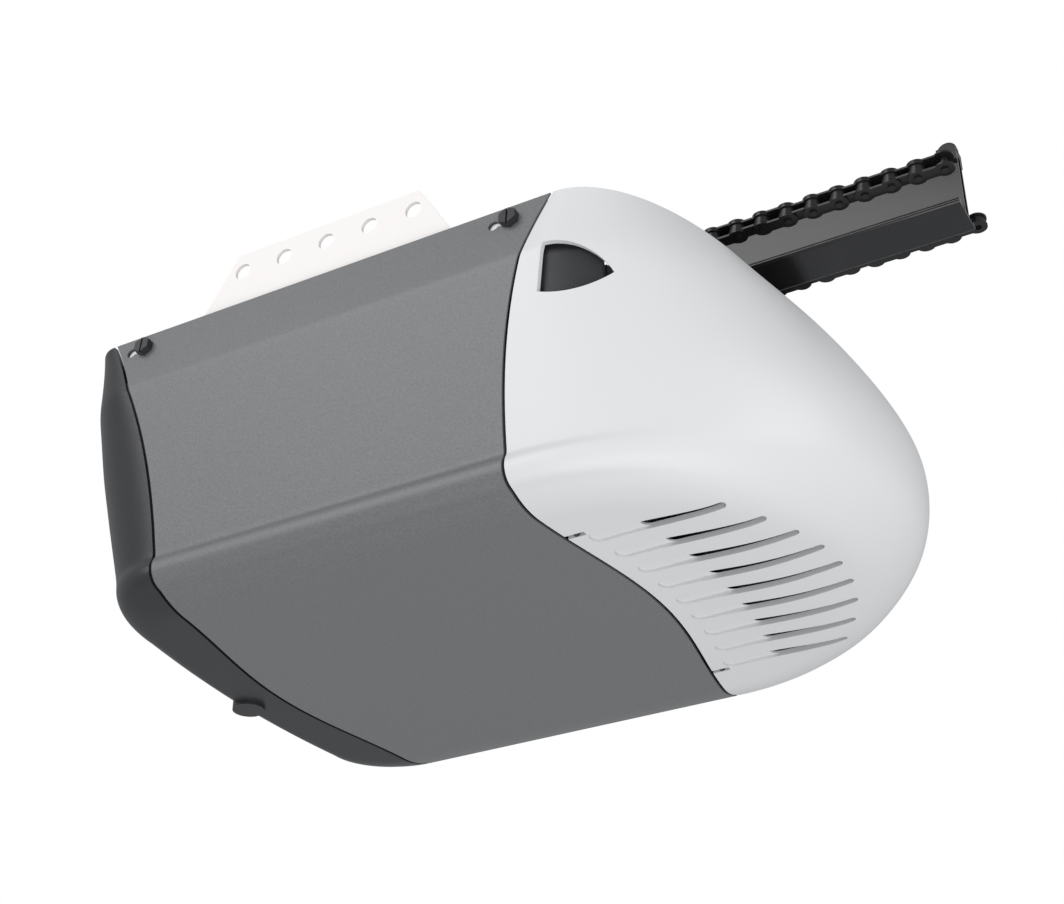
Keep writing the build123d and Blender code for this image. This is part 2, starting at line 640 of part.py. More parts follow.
def plate_face():
    """A chain plate: two round ends joined by a narrower waist."""
    waist = Rectangle(pitch, 2 * plate_waist)
    return Pos(-pitch / 2, 0) * Circle(plate_r) + Pos(pitch / 2, 0) * Circle(plate_r) + waist


def inner_link():
    """Two plates on two bushes, with holes for the pins."""
    face = plate_face()
    link = extrude(Pos(0, 0, inner_z) * face, plate_t) + extrude(Pos(0, 0, -inner_z) * face, -plate_t)
    for s in (-1, 1):
        link += rod(roller_r, (s * pitch / 2, 0, -inner_z), (0, 0, 1), 2 * inner_z)
        link -= rod(pin_r + 0.1, (s * pitch / 2, 0, -6), (0, 0, 1), 12)
    return link


def outer_link():
    """Two plates riveted on two pins."""
    face = plate_face()
    link = extrude(Pos(0, 0, outer_z) * face, plate_t) + extrude(Pos(0, 0, -outer_z) * face, -plate_t)
    for s in (-1, 1):
        link += rod(pin_r, (s * pitch / 2, 0, -pin_half), (0, 0, 1), 2 * pin_half)
    return link


inner = inner_link()
outer = outer_link()
for name, side in (("chain_near", -1), ("chain_far", 1)):
    links = []
    for k in range(strand_links):
        link = outer if (k % 2 == 0) == (side > 0) else inner
        links.append(Pos(sprocket_x + (k + 0.5) * pitch, side * pitch_r, chain_z) * link)
    save(name, *links)
wrap_links = []
chord_r = pitch_r * cos(pi / teeth)
for k in range(teeth // 2):
    turn = 90 + (k + 0.5) * 360 / teeth
    link = inner if k % 2 == 0 else outer
    place = Pos(sprocket_x, 0, chain_z) * Rot(0, 0, turn) * Pos(chord_r, 0, 0) * Rot(0, 0, 90)
    wrap_links.append(place * link)
save("chain_wrap", *wrap_links)
spreader_x = rail_x1 - 9.0
spreader = block(spreader_x, rail_x1, -web_t / 2 - 2, web_t / 2 + 2, web_top - 5, web_top + 3)
spreader -= block(spreader_x - 1, rail_x1 + 1, -web_t / 2, web_t / 2, web_top - 6, web_top)
fin = make_face(Plane.XZ * Wire([
    Line((spreader_x, web_top + 2), (spreader_x, web_top + 4.5)),
    ThreePointArc((spreader_x, web_top + 4.5), (spreader_x + 4.5, web_top + 8), (rail_x1, web_top + 4.5)),
    Line((rail_x1, web_top + 4.5), (rail_x1, web_top + 2)),
    Line((rail_x1, web_top + 2), (spreader_x, web_top + 2))]))
spreader += extrude(fin, 2.0, both=True)
save("chain_spreader", spreader)

# ---------------------------------------------------------------- sprocket, shaft and wheel
blank = extrude(Circle(tooth_tip_r), sprocket_t / 2, both=True)
pocket_r = roller_r + 0.12
for k in range(teeth):
    gap = Pos(pitch_r, 0) * Circle(pocket_r) + make_face(Polyline(
        (pitch_r, -pocket_r), (pitch_r + 6, -pocket_r - 3.9),
        (pitch_r + 6, pocket_r + 3.9), (pitch_r, pocket_r),
        close=True))
    blank -= extrude(Rot(0, 0, 90 + 360 * k / teeth) * gap, 4, both=True)
hub_z = rail_floor + 0.5
sprocket = Pos(sprocket_x, 0, chain_z) * blank
sprocket += rod(12.0, (sprocket_x, 0, hub_z), (0, 0, 1), chain_z - hub_z)
sprocket -= rod(shaft_r, (sprocket_x, 0, 0), (0, 0, 1), 60)
save("sprocket", sprocket)
low_z = wheel_z - wheel_w / 2 - 4.0
step_z = low_z - 8.0 - frame_t
shaft_low = step_z + frame_t + 0.3
shaft_top = chain_z + 8.0
save("drive_shaft", rod(shaft_r, (sprocket_x, 0, shaft_low), (0, 0, 1), shaft_top - shaft_low))
ring_z = chain_z + sprocket_t / 2
save("shaft_ring", tube(9.0, shaft_r, (sprocket_x, 0, ring_z), (0, 0, 1), 3.0))


def tooth_slot(half_gap, tip_gap):
    """The gap between two wheel teeth, as a face at the wheel's rim on +X."""
    deep = wheel_r - 2.3
    return make_face(Polyline((deep, -half_gap), (wheel_r + 3, -tip_gap),
                              (wheel_r + 3, tip_gap), (deep, half_gap),
                              close=True))


wheel = extrude(Circle(wheel_r + wheel_add), wheel_w / 2, both=True)
for k in range(wheel_teeth):
    wheel -= extrude(Rot(0, 0, -90 + 360 * k / wheel_teeth) * tooth_slot(1.75, 3.1), wheel_w, both=True)
wheel += extrude(Circle(14), wheel_w / 2 + 2, both=True)
wheel -= extrude(Circle(shaft_r), 20, both=True)
save("worm_wheel", Pos(sprocket_x, 0, wheel_z) * wheel)
bearing = rod(bearing_r, (sprocket_x, 0, -sheet - 6), (0, 0, 1), hub_z + sheet + 5.5)
bearing += block(sprocket_x - 25, sprocket_x + 25, -20, 20, 0, bearing_flange)
bearing -= rod(shaft_r + bush_t, (sprocket_x, 0, -20), (0, 0, 1), 60)
for x, y in plate_points:
    bearing -= rod(screw_r + 0.1, (x, y, -1), (0, 0, 1), 5)
save("bearing_plate", bearing)
save("shaft_bushings",
     tube(shaft_r + bush_t, shaft_r + run_gap, (sprocket_x, 0, -sheet - 6), (0, 0, 1), hub_z + sheet + 5.5),
     tube(shaft_r + bush_t, shaft_r + run_gap, (sprocket_x, 0, low_z - 8), (0, 0, 1), 8.0))

# ---------------------------------------------------------------- gear frame and motor
gear_frame = block(frame_x0, frame_x1, frame_y0, frame_y1, step_z, step_z + frame_t)
gear_frame += block(frame_x0, frame_x0 + frame_t, frame_y0, frame_y1, step_z, -sheet)
gear_frame += block(frame_x0, frame_x0 + frame_t, frame_y0, worm_y + stator_r, wheel_z - stator_r, step_z + 1)
gear_frame += block(frame_x0, frame_x1, frame_y1 - frame_t, frame_y1, step_z, -sheet)
gear_frame += block(frame_x0, frame_x1, frame_y0, frame_y0 + frame_t, step_z, -sheet)
gear_frame += block(frame_x1 - frame_t, frame_x1, frame_y0, worm_y + 16, step_z, -sheet)
for x, y in tab_points:
    edge = frame_y1 if y > 0 else frame_y0
    gear_frame += block(x - 8, x + 8, edge - 1 if y > 0 else edge, y + 8, -sheet - frame_t, -sheet)
gear_frame += rod(shaft_r + bush_t + 3, (sprocket_x, 0, step_z), (0, 0, 1), low_z - step_z)
gear_frame -= rod(shaft_r + bush_t, (sprocket_x, 0, step_z + frame_t), (0, 0, 1), 20)
boss_r = rotor_shaft_r + bush_t + 3.0
bush_r = rotor_shaft_r + bush_t
gear_frame += rod(boss_r, (frame_x1, worm_y, wheel_z), (-1, 0, 0), boss_l)
gear_frame -= rod(bush_r, (frame_x1 + 1, worm_y, wheel_z), (-1, 0, 0), boss_l + 2)
gear_frame -= rod(boss_r, (frame_x0 - 1, worm_y, wheel_z), (1, 0, 0), frame_t + 2)
for x, y in tab_points:
    gear_frame -= rod(screw_r, (x, y, -sheet - 9), (0, 0, 1), 9)
stud_ring = stator_r - 3.5
stud_places = [(worm_y + stud_ring * sin(pi / 4 + k * pi / 2), wheel_z + stud_ring * cos(pi / 4 + k * pi / 2))
               for k in range(4)]
for y, z in stud_places:
    gear_frame -= rod(stud_r, (frame_x0 - 1, y, z), (1, 0, 0), frame_t + 2)
save("gear_frame", gear_frame)


def at_motor(x, shape):
    """Turn a shape built along +Z so that it runs along the motor's axis from a place on X."""
    return Pos(x, worm_y, wheel_z) * Rot(0, 90, 0) * shape


bell_x1 = frame_x0
stator_x1 = bell_x1 - bell_l
stator_x0 = stator_x1 - stator_l
bell_x0 = stator_x0 - bell_l
slot_in = stator_bore + 2.0
slot_out = stator_bore + 12.0
core = Pos(0, 0, stator_l / 2) * (Cylinder(stator_r, stator_l) - Cylinder(stator_bore, stator_l + 2))
bars = []
for k in range(slot_count):
    turn = Rot(0, 0, 15 + 360 * k / slot_count)
    bars.append(turn * Pos((slot_in + slot_out) / 2, 0, stator_l / 2) * Box(slot_out - slot_in - 0.6, 5.4,
                                                                         stator_l + 2))
    core -= turn * Pos((slot_in + slot_out) / 2, 0, stator_l / 2) * Box(slot_out - slot_in, 6.0, stator_l + 2)
for k in range(4):
    core -= Rot(0, 0, 45 + 90 * k) * Pos(stud_ring, 0, stator_l / 2) * Cylinder(stud_r + 0.1, stator_l + 2)
save("motor_stator", at_motor(stator_x0, core))
coil = Pos(0, 0, -coil_l / 2 - 0.3) * (Cylinder(slot_out, coil_l) - Cylinder(slot_in, coil_l + 2))
coil += Pos(0, 0, stator_l + coil_l / 2 + 0.3) * (Cylinder(slot_out, coil_l) - Cylinder(slot_in, coil_l + 2))
for bar in bars:
    coil += bar
save("motor_windings", at_motor(stator_x0, coil))


def end_bell():
    """Motor end bell, open towards +Z, with a bearing boss inside and vents in its face."""
    cup = Pos(0, 0, bell_l / 2) * Cylinder(stator_r, bell_l)
    cup -= Pos(0, 0, bell_t + bell_l / 2) * Cylinder(stator_r - bell_t, bell_l)
    cup += Pos(0, 0, bell_l / 4) * Cylinder(boss_r, bell_l / 2)
    cup -= Pos(0, 0, bell_l / 2) * Cylinder(bush_r, bell_l + 2)
    for k in range(4):
        cup -= Rot(0, 0, 45 + 90 * k) * Pos(stud_ring, 0, bell_l / 2) * Cylinder(stud_r + 0.1, bell_l + 2)
        cup -= Rot(0, 0, 90 * k) * Pos(stator_r * 0.55, 0, bell_t / 2) * Box(12, 7, bell_t + 2)
    return cup


save("motor_rear_bell", at_motor(bell_x0, end_bell()))
save("motor_front_bell", Pos(bell_x1, worm_y, wheel_z) * Rot(0, -90, 0) * end_bell())
bush = Cylinder(bush_r, bell_l / 2) - Cylinder(rotor_shaft_r + run_gap, bell_l)
save("motor_bushings", at_motor(bell_x0 + bell_l / 4, bush), at_motor(bell_x1 - bell_l / 4, bush),
     tube(bush_r, rotor_shaft_r + run_gap, (frame_x1, worm_y, wheel_z), (-1, 0, 0), boss_l))
save("motor_bolts", *[screw(stud_r, bell_x1 - bell_x0 + frame_t, 3.8, 3.0, (bell_x0, y, z), (1, 0, 0))
                      for y, z in stud_places])
rotor_r = stator_bore - air_gap
save("rotor_core", tube(rotor_r, rotor_shaft_r, (stator_x0, worm_y, wheel_z), (1, 0, 0), stator_l))
shaft_x0 = bell_x0 - 14.0
save("motor_shaft", rod(rotor_shaft_r, (shaft_x0, worm_y, wheel_z), (1, 0, 0), frame_x1 + 1.0 - shaft_x0))


def worm_solid():
    """One-start worm: a round root with a single raised thread, twisted along the axis."""
    corners = [(worm_root_r - 0.7, -84), (worm_root_r, -72), (worm_pitch_r, -50), (worm_tip_r, -33),
               (worm_tip_r + 0.2, 0), (worm_tip_r, 33), (worm_pitch_r, 50), (worm_root_r, 72),
               (worm_root_r - 0.7, 84)]
    turned = [(r * cos(radians(a)), r * sin(radians(a))) for r, a in corners]
    thread = make_face(Polyline(*turned, close=True))
    face = (thread + Circle(worm_root_r)).faces()[0]
    twist = 360 * worm_l / worm_lead
    solid = Solid.extrude_linear_with_rotation(face, (0, 0, 0), (0, 0, worm_l), twist)
    return Rot(0, 0, -twist / 2) * solid - Pos(0, 0, worm_l / 2) * Cylinder(rotor_shaft_r, worm_l + 2)


save("worm", Pos(sprocket_x - worm_l / 2, worm_y, wheel_z) * Rot(0, 90, 0) * Rot(0, 0, 90) * worm_solid())
disc_x = bell_x0 - 11.0
disc = Pos(0, 0, 0.75) * Cylinder(cup_r, 1.5) + Pos(0, 0, 3) * Cylinder(7.5, 6)
rim = Pos(0, 0, 3.5) * (Cylinder(cup_r, 7) - Cylinder(cup_r - 1.5, 9))
for k in range(3):
    rim -= Rot(0, 0, 60 * k) * Pos(0, 0, 5.0) * Box(2 * cup_r + 4, 7, 7)
disc = disc + rim - Cylinder(rotor_shaft_r, 40)
save("speed_cup", at_motor(disc_x, disc))
fork = block(disc_x - 1, bell_x0, worm_y - 6, worm_y + 6, wheel_z + 10.5, wheel_z + 23)
fork -= tube(cup_r + 1.0, cup_r - 2.5, (disc_x - 3, worm_y, wheel_z), (1, 0, 0), 11.5)
fork -= block(disc_x - 3, disc_x + 2.5, worm_y - 9, worm_y + 9, wheel_z + 8, wheel_z + cup_r + 1)
save("speed_sensor", fork)

# ---------------------------------------------------------------- sprocket guard
guard_top = shaft_top + 3.0
guard_plan = Pos(sprocket_x, 0) * Circle(guard_in + guard_t) + Pos(sprocket_x + 14, 0) * Rectangle(
    28, 2 * (guard_in + guard_t))
guard_hole = Pos(sprocket_x, 0) * Circle(guard_in) + Pos(sprocket_x + 16, 0) * Rectangle(32.5, 2 * guard_in)
guard = extrude(guard_plan, guard_top + guard_t) - extrude(guard_hole, guard_top)
guard -= block(sprocket_x + guard_in - 6.5, sprocket_x + 60, -guard_in, guard_in, -1, guard_top)
for x, y in guard_points:
    side = 1 if y > 0 else -1
    guard += block(x - 5, x + 5, side * (guard_in + 0.5), side * 50.0, 0, guard_t)
    guard -= rod(screw_r + 0.1, (x, y, -1), (0, 0, 1), guard_t + 2)
save("sprocket_guard", guard)

# ---------------------------------------------------------------- capacitor and transformer
can_y = (clip_points[0][1] + clip_points[1][1]) / 2
can_z = -sheet - 2.0 - can_r
can = rod(can_r, (-46, can_y, can_z), (1, 0, 0), 70)
for s in (-1, 1):
    can += block(-54, -45, can_y + s * 6 - 3, can_y + s * 6 + 3, can_z - 0.4, can_z + 0.4)
save("capacitor", can)
clip_x = clip_points[0][0]
clip = tube(can_r + 1.5, can_r + clear, (clip_x - 7, can_y, can_z), (1, 0, 0), 14)
clip -= block(clip_x - 9, clip_x + 9, can_y - 40, can_y + 40, -sheet - 2, 9)
for s in (-1, 1):
    clip += block(clip_x - 7, clip_x + 7,
                  can_y + s * (can_r + clear), can_y + s * (can_r + 1.5), can_z, -sheet)
    clip += block(clip_x - 7, clip_x + 7, can_y + s * (can_r + clear), can_y + s * 30, -sheet - 1.5, -sheet)
for x, y in clip_points:
    clip -= rod(screw_r, (x, y, -sheet - 3), (0, 0, 1), 4)
save("capacitor_clip", clip)
coil_y = (core_points[0][1] + core_points[1][1]) / 2
coil_x = core_points[0][0]
laminate = block(coil_x - 13, coil_x + 13, coil_y - 19, coil_y + 19, core_z0, -sheet)
laminate += block(coil_x - 10, coil_x + 10, coil_y - 31, coil_y + 31, -sheet - 2, -sheet)
for s in (-1, 1):
    laminate -= block(coil_x - 14, coil_x + 14, coil_y + s * 6, coil_y + s * 13, core_z0 + 8, -sheet - 8)
for x, y in core_points:
    laminate -= rod(screw_r, (x, y, -sheet - 4), (0, 0, 1), 5)
save("transformer_core", laminate)
spool = block(coil_x - 19, coil_x + 19, coil_y - 12.7, coil_y + 12.7, core_z0 + 8.3, -sheet - 8.3)
spool -= block(coil_x - 13.2, coil_x + 13.2, coil_y - 6.2, coil_y + 6.2, core_z0, 0)
save("transformer_coil", spool)

# ---------------------------------------------------------------- chassis screws, all one size
seats = [(tab_points, 0.0, sheet + frame_t), (core_points + clip_points + bulk_points, 0.0, sheet + 1.4),
         (hang_points, hang_t, hang_t + sheet + 1.0), (hat_points, hat_t, hat_t + sheet + 1.0),
         (guard_points, guard_t, guard_t + sheet + 1.0),
         (plate_points, bearing_flange, bearing_flange + sheet + 1.0)]
save("chassis_screws", *[screw(screw_r, length, screw_head_r, screw_head_h, (x, y, seat_z), (0, 0, -1))
                         for points, seat_z, length in seats for x, y in points])

# ---------------------------------------------------------------- control panel, board and buttons
y0, y1 = panel_y - panel_w / 2, panel_y + panel_w / 2
z0, z1 = panel_z - panel_h / 2, panel_z + panel_h / 2
panel = block(panel_x, panel_x + panel_t, y0, y1, z0, z1)
board_x = panel_x + panel_t + board_gap
posts = [(y0 + 6, z0 + 6), (y1 - 6, z0 + 6), (y0 + 6, z1 - 6), (y1 - 6, z1 - 6)]
button_places = {"learn_button": (y1 - 16, panel_z + 8), "up_button": (y1 - 38, panel_z + 12),
                 "adjust_button": (y1 - 38, panel_z), "down_button": (y1 - 38, panel_z - 12)}
for y, z in posts:
    panel += rod(3.5, (panel_x + panel_t - 0.5, y, z), (1, 0, 0), board_gap + 0.5)
    panel -= rod(1.3, (panel_x + panel_t, y, z), (1, 0, 0), board_gap + 1)
for y, z in button_places.values():
    panel -= rod(button_r + side_gap, (panel_x - 1, y, z), (1, 0, 0), panel_t + 2)
lamp_y, lamp_zz = y1 - 16, panel_z - 8
panel -= rod(2.2, (panel_x - 1, lamp_y, lamp_zz), (1, 0, 0), panel_t + 2)
term_y0, term_y1 = y0 + 14, y0 + 44
term_z0, term_z1 = panel_z - 7, panel_z + 7
panel -= block(panel_x - 1, panel_x + panel_t + 1, term_y0 - clear, term_y1 + clear, term_z0 - clear,
               term_z1 + clear)
save("control_panel", panel)
board = block(board_x, board_x + board_t, y0 + 1, y1 - 1, z0 + 1, z1 - 1)
for y, z in posts:
    board -= rod(1.5, (board_x - 1, y, z), (1, 0, 0), board_t + 2)
save("logic_board", board)
save("board_screws", *[screw(1.3, 7.0, 2.6, 1.8, (board_x + board_t, y, z), (-1, 0, 0)) for y, z in posts])
save("tact_switches", *[block(board_x - switch_l, board_x, y - 3, y + 3, z - 3, z + 3)
                        for y, z in button_places.values()])
chips = [block(board_x + board_t, board_x + board_t + h, y - a, y + a, z - b, z + b)
         for y, z, a, b, h in ((panel_y - 26, panel_z - 8, 9, 9, 14), (panel_y - 4, panel_z - 8, 9, 9, 14),
                               (panel_y + 16, panel_z + 8, 7, 7, 2), (panel_y - 20, panel_z + 14, 6, 4, 3))]
save("board_relays", *chips)
terminal = block(panel_x - 2.0, board_x, term_y0, term_y1, term_z0, term_z1)
for k in range(4):
    y = term_y0 + 3.75 + 7.5 * k
    terminal -= rod(1.4, (panel_x - 3, y, panel_z + 3), (1, 0, 0), 8)
    terminal -= block(panel_x - 3, panel_x + 0.5, y - 2.2, y + 2.2, panel_z - 5, panel_z - 1)
save("terminal_block", terminal)
for name, (y, z) in button_places.items():
    cap = rod(button_r, (panel_x - 2.5, y, z), (1, 0, 0), panel_t + 4.5)
    cap += rod(button_r + 1.6, (panel_x + panel_t + 0.3, y, z), (1, 0, 0), 1.7)
    cap += rod(2.0, (panel_x + panel_t + 1, y, z), (1, 0, 0), board_gap - switch_l - button_travel - 1.3)
    save(name, cap)
lamp = rod(2.0, (panel_x - 1.0, lamp_y, lamp_zz), (1, 0, 0), board_x - panel_x + 1.0)
save("status_lamp", lamp)

# ---------------------------------------------------------------- rear cap screws and cord gland
save("rear_cap_screws", *[screw(screw_r, 9.0, screw_head_r, screw_head_h, (-chassis_half - 6.0, side * cap_screw_y,
                                                                          cap_screw_z), (1, 0, 0))
                          for side in (1, -1)])
save("cord_gland", cord_gland)
print("nodes", len(written))
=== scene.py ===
import json
import math

import bmesh
import bpy
import numpy as np
from bpy.props import FloatProperty, FloatVectorProperty, IntProperty, PointerProperty
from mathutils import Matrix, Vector


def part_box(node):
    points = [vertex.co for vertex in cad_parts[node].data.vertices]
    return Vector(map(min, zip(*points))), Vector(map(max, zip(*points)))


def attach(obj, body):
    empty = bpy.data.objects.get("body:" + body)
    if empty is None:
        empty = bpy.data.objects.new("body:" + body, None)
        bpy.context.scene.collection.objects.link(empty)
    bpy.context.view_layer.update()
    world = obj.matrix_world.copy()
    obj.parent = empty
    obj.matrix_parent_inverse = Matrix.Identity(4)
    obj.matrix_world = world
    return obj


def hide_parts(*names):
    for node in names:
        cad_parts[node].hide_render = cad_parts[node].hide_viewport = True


bl_info = {
    "name": "Garage door opener",
    "version": (1, 0, 0),
    "blender": (4, 2, 0),
    "location": "View3D > Sidebar > Door opener",
    "description": "Powerhead of a chain-drive garage door opener, as surfaces on its mechanical frame",
    "category": "Object",
}

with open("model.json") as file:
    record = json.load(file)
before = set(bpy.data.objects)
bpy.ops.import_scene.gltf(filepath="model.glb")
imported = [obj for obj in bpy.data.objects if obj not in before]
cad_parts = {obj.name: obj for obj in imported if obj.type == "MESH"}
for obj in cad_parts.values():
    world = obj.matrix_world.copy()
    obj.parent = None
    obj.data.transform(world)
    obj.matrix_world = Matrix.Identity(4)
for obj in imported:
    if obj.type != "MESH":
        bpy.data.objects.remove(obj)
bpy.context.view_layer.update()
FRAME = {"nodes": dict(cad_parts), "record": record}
LENS_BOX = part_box("light_lens")
COVER_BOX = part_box("wrap_cover")

# Keyholes for the cover's screws, and slits for the lens's hinges, in metres
SCREW_X = 0.1             # each way from the middle
HOLE_BACK = 0.0085        # the round end lies this far behind its screw
HOLE_R = 0.0026
HOLE_Z = -0.0082
SLOT_LOW = -0.0095
SLOT_HIGH = -0.0069
SLIT_REAR = 0.0880
SLIT_FRONT = 0.10425
SLIT_Y = 0.075
SLIT_HALF = 0.0014
COVER_ROWS = 260          # points kept round the cover's section
COVER_COLUMNS = 40        # and along its length
FLOOR_HALF = 6.0
FLOOR_Z = -2.0


# ---------------------------------------------------------------- properties
def length(name, description, default):
    """A length in metres that a user may change."""
    return FloatProperty(name=name, description=description, default=default, min=0.0,
                         unit="LENGTH", precision=4)


def colour(name, description, default):
    """A surface colour that a user may change."""
    return FloatVectorProperty(name=name, description=description, default=default, subtype="COLOR",
                               min=0.0, max=1.0, size=3)


class HousingSizes(bpy.types.PropertyGroup):
    """Sizes shared by the cover, the rear cap and the lens."""

    width: length("Width", "Over the two top edges of the cover", 0.264)
    height: length("Height", "Chassis top down to the flat underside", float(-LENS_BOX[0][2]))
    crease_drop: length("Crease drop", "Upper crease below the top edge", 0.0311)
    crease_out: length("Crease out", "How far the wall leans out at the upper crease", 0.0034)
    ridge_rise: length("Ridge rise", "Lower crease above the underside", 0.0189)
    ridge_in: length("Ridge in", "Lower crease inside the top edge", 0.0127)
    ridge_out: length("Ridge swell", "How far the ridge swells below its crease", 0.0022)
    ridge_roll: length("Ridge roll", "Widest line of the ridge below its crease", 0.0059)
    floor_in: length("Floor inset", "Where the flat underside starts inside the crease", 0.0273)
    cover_half: length("Cover half length", "Half length of the cover along its top edge",
                       float(COVER_BOX[1][0]))
    waist_half: length("Waist half length", "Half length of the cover at the ridge", 0.0898)
    bell_reach: length("Bell reach", "How far the underside runs out past the waist", 0.0137)
    bell_half: length("Bell half width", "Half width of that run-out", 0.118)
    seam: length("Seam", "Gap between the cover and its neighbours", 0.0016)
    sheet: length("Sheet", "Thickness of the cover", 0.001)
    wall: length("Wall", "Thickness of the moulded lens and rear cap", 0.0026)
    columns: IntProperty(name="Columns", description="Steps across each end", default=150, min=24)


class VentSizes(bpy.types.PropertyGroup):
    """Sizes of the vents, finger windows and hinge slits in the lens."""

    count: IntProperty(name="Vents", description="Number of grooves", default=9, min=1)
    pitch: length("Vent pitch", "Middle to middle of the grooves", 0.0174)
    rear: length("Vent rear", "Rear end of the middle groove", 0.1115)
    tip: length("Vent tip", "Front end of the middle groove", 0.190)
    rear_bow: length("Rear bow", "Outer grooves start this much further back", 0.0078)
    tip_bow: length("Tip bow", "Outer grooves end this much sooner", 0.024)
    blind: length("Blind length", "Part of a groove that is only a recess", 0.024)
    wide: length("Rear half width", "Half width at the rear end", 0.0044)
    narrow: length("Tip half width", "Half width at the tip", 0.0020)
    depth: length("Recess depth", "Depth of the recess", 0.0013)
    window_x: length("Window rear", "Rear edge of the finger window", 0.112)
    window_low: length("Window drop", "Lower edge of the window below the chassis top", 0.050)
    window_l: length("Window length", "Length of the finger window", 0.032)
    window_h: length("Window height", "Height of the finger window", 0.0225)


class Finishes(bpy.types.PropertyGroup):
    """Colours of the finishes."""

    cover: colour("Cover", "Powder coat of the cover", (0.150, 0.152, 0.155))
    lens: colour("Lens", "White moulding of the lens", (0.69, 0.693, 0.70))
    cap: colour("Rear cap", "Dark moulding of the rear cap", (0.026, 0.0265, 0.028))
    hanger: colour("Hangers", "Coat on the hanger flanges", (0.88, 0.85, 0.83))
    rail: colour("Rail", "Gloss paint of the rail", (0.010, 0.010, 0.011))
    chain: colour("Chain", "Oiled steel of the chain", (0.022, 0.022, 0.023))
    zinc: colour("Zinc", "Galvanised sheet", (0.56, 0.57, 0.58))


# ---------------------------------------------------------------- surfaces
def rounded(points, reach, step=0.0005):
    """Even samples along a polyline, each replaced twice by the mean of its neighbours within reach.
    Corners turn round, straight runs stay straight, and both ends stay where they are."""
    points = np.asarray(points, float)
    gaps = np.linalg.norm(np.diff(points, axis=0), axis=1)
    along = np.concatenate([[0.0], np.cumsum(gaps)])
    at = np.linspace(0.0, along[-1], int(along[-1] / step) + 1)
    even = np.stack([np.interp(at, along, column) for column in points.T], 1)
    half = max(int(reach / step / 2), 1)
    kernel = np.ones(2 * half + 1) / (2 * half + 1)
    for _ in range(2):
        before = 2 * even[0] - even[half:0:-1]
        after = 2 * even[-1] - even[-2:-half - 2:-1]
        long = np.concatenate([before, even, after])
        even = np.stack([np.convolve(column, kernel, "valid") for column in long.T], 1)
    return even


def eased(value, low, high):
    """A smooth step: 0 below low, 1 above high, and 3t*t - 2t*t*t between."""
    t = np.clip((value - low) / (high - low), 0.0, 1.0)
    return t * t * (3.0 - 2.0 * t)


def section_points(h, inset):
    """Half of the housing's cross-section, from the top edge to the underside, as (y, z)."""
    w = h.width / 2 - inset
    rw = h.width / 2 - h.ridge_in - inset
    low = -h.height + inset
    ridge_z = -h.height + h.ridge_rise
    outer_rw = rw + inset
    return [
        (w, 0.0),
        (w + h.crease_out, -h.crease_drop),
        (rw, ridge_z),
        (rw + h.ridge_out, ridge_z - h.ridge_roll),
        (outer_rw - 0.0058 - 0.7 * inset, low + 0.0045),
        (outer_rw - 0.55 * h.floor_in - 0.3 * inset, low + 0.0012),
        (outer_rw - h.floor_in, low),
    ]


def arc(a, b, c, count):
    """Points of the circle through three points, from the first to the last."""
    a, b, c = (np.asarray(q, float) for q in (a, b, c))
    d = 2 * (a[0] * (b[1] - c[1]) + b[0] * (c[1] - a[1]) + c[0] * (a[1] - b[1]))
    ux = ((a @ a) * (b[1] - c[1]) + (b @ b) * (c[1] - a[1]) + (c @ c) * (a[1] - b[1])) / d
    uy = ((a @ a) * (c[0] - b[0]) + (b @ b) * (a[0] - c[0]) + (c @ c) * (b[0] - a[0])) / d
    middle = np.array([ux, uy])
    turned = np.unwrap([math.atan2(*(q - middle)[::-1]) for q in (a, b, c)])
    run = np.linspace(turned[0], turned[2], count)
    return middle + np.linalg.norm(a - middle) * np.stack([np.cos(run), np.sin(run)], 1)


def section_line(h, inset):
    """The half section with its lower corners as arcs: the ridge, then the bend into the underside."""
    p = section_points(h, inset)
    return np.concatenate([p[:2], arc(p[2], p[3], p[4], 11), arc(p[4], p[5], p[6], 9)[1:]])


def edge_half(h, z):
    """Half length of the cover at a height: the waist, plus a flare that grows as a power of the height."""
    share = np.clip(1.0 + z / h.height, 0.0, 1.0)
    return h.waist_half + (h.cover_half - h.waist_half) * share ** 2.6


def bell_half(h, y):
    """Half length of the underside: the waist, plus a cosine-squared bell over the width."""
    bell = np.cos(np.pi * np.clip(np.abs(y) / h.bell_half, 0.0, 1.0) / 2.0) ** 2
    return h.waist_half + h.bell_reach * bell


def new_object(name, verts, faces, body):
    """A mesh object at the origin that rides on a body."""
    mesh = bpy.data.meshes.new(name)
    mesh.from_pydata(verts.tolist(), [], faces.tolist())
    mesh.validate()
    mesh.update()
    obj = bpy.data.objects.new(name, mesh)
    bpy.context.scene.collection.objects.link(obj)
    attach(obj, body)
    return obj


def grid_faces(rows, columns, start=0, flip=False):
    """Quads of a grid whose points are numbered row by row."""
    i, j = np.meshgrid(np.arange(rows - 1), np.arange(columns - 1), indexing="ij")
    a = start + i * columns + j
    quads = np.stack([a, a + 1, a + columns + 1, a + columns], -1).reshape(-1, 4)
    return quads[:, ::-1] if flip else quads


def thick_sheet(outer, inner):
    """A closed wall between two grids of the same shape: both sheets, and a strip round all four edges."""
    rows, columns = outer.shape[:2]
    count = rows * columns
    index = np.arange(count).reshape(rows, columns)
    loop = np.concatenate([index[0, :-1], index[:-1, -1], index[-1, :0:-1], index[:0:-1, 0]])
    after = np.roll(loop, -1)
    strip = np.stack([after, loop, loop + count, after + count], -1)
    faces = np.concatenate([grid_faces(rows, columns), grid_faces(rows, columns, count, True), strip])
    return np.concatenate([outer.reshape(-1, 3), inner.reshape(-1, 3)]), faces


